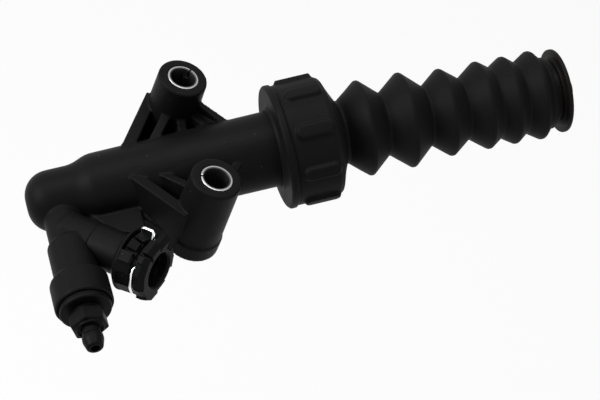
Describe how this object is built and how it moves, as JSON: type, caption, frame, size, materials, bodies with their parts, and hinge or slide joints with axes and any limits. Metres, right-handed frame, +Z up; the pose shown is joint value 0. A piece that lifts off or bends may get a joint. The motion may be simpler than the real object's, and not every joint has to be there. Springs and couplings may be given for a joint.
{
  "type": "clutch slave cylinder",
  "caption": "Hydraulic clutch slave cylinder with two bushed mounting lugs, bleed and pipe ports, and a ribbed rubber boot over its push rod.",
  "frame": {"origin": "on the cylinder bore's axis, where the plane of the two leaning bolt bores crosses it", "axes": "+X along the cylinder bore towards the push rod, +Y from the bleed port's side to the other side, +Z up towards the bolt heads' side of the lugs"},
  "size_m": [0.1934, 0.0947, 0.0458],
  "materials": {
    "housing_plastic": "satin",
    "boot_rubber": "matte",
    "bush_steel": "brushed",
    "spring_steel": "polished",
    "valve_plastic": "satin",
    "socket_plastic": "satin",
    "head_plastic": "satin",
    "piston_plastic": "satin",
    "bearing_plastic": "satin",
    "seal_rubber": "matte",
    "rod_steel": "brushed",
    "coil_steel": "satin"
  },
  "bodies": {
    "body": {"housing": "housing_plastic", "near_lug_bush": "bush_steel", "far_lug_bush": "bush_steel", "boot": "boot_rubber", "pipe_socket": "socket_plastic", "socket_seal": "seal_rubber", "socket_spacer": "bearing_plastic", "joint_seal": "seal_rubber", "stop_ring": "coil_steel", "mouth_guide": "bearing_plastic", "piston_spring": "coil_steel"},
    "piston_set": {"piston": "piston_plastic", "piston_cup_seal": "seal_rubber", "piston_guide_ring": "bearing_plastic", "spring_cup": "bearing_plastic", "ball_seat": "coil_steel"},
    "swivel": {"rod_cup": "bearing_plastic"},
    "rod": {"pushrod": "rod_steel", "rod_head": "head_plastic"},
    "bleed_lift": {"bleed_seal": "seal_rubber"},
    "bleed_screw": {"bleed_valve": "valve_plastic"},
    "clip": {"pipe_clip": "spring_steel"}
  },
  "joints": [
    {"name": "piston_slide", "type": "slide", "parent": "body", "child": "piston_set", "axis": [1, 0, 0], "range_m": [-0.02, 0], "stiffness_N_per_m": 120, "springref_m": 0.008, "deforming": ["piston_spring", "boot"]},
    {"name": "rod_pitch", "type": "hinge", "parent": "piston_set", "child": "swivel", "pos_m": [0.0329, 0, 0], "axis": [0, 1, 0], "range_deg": [-4, 4], "stiffness_Nm_per_rad": 1.2, "deforming": ["boot"]},
    {"name": "rod_yaw", "type": "hinge", "parent": "swivel", "child": "rod", "pos_m": [0.0329, 0, 0], "axis": [0, 0, 1], "range_deg": [-1.7, 6.3], "stiffness_Nm_per_rad": 1.2, "deforming": ["boot"]},
    {"name": "bleed_rise", "type": "slide", "parent": "body", "child": "bleed_lift", "axis": [0, -0.9962, 0.0872], "range_m": [0, 0.0015]},
    {"name": "bleed_turn", "type": "hinge", "parent": "bleed_lift", "child": "bleed_screw", "pos_m": [-0.0428, 0, 0], "axis": [0, -0.9962, 0.0872], "range_deg": [0, 360.1]},
    {"name": "clip_release", "type": "slide", "parent": "body", "child": "clip", "axis": [0, 0.0872, 0.9962], "range_m": [0, 0.0022]}
  ],
  "couplings": [
    {"joint": "bleed_turn", "follows": "bleed_rise", "rad_per_m": 4188.8}
  ]
}
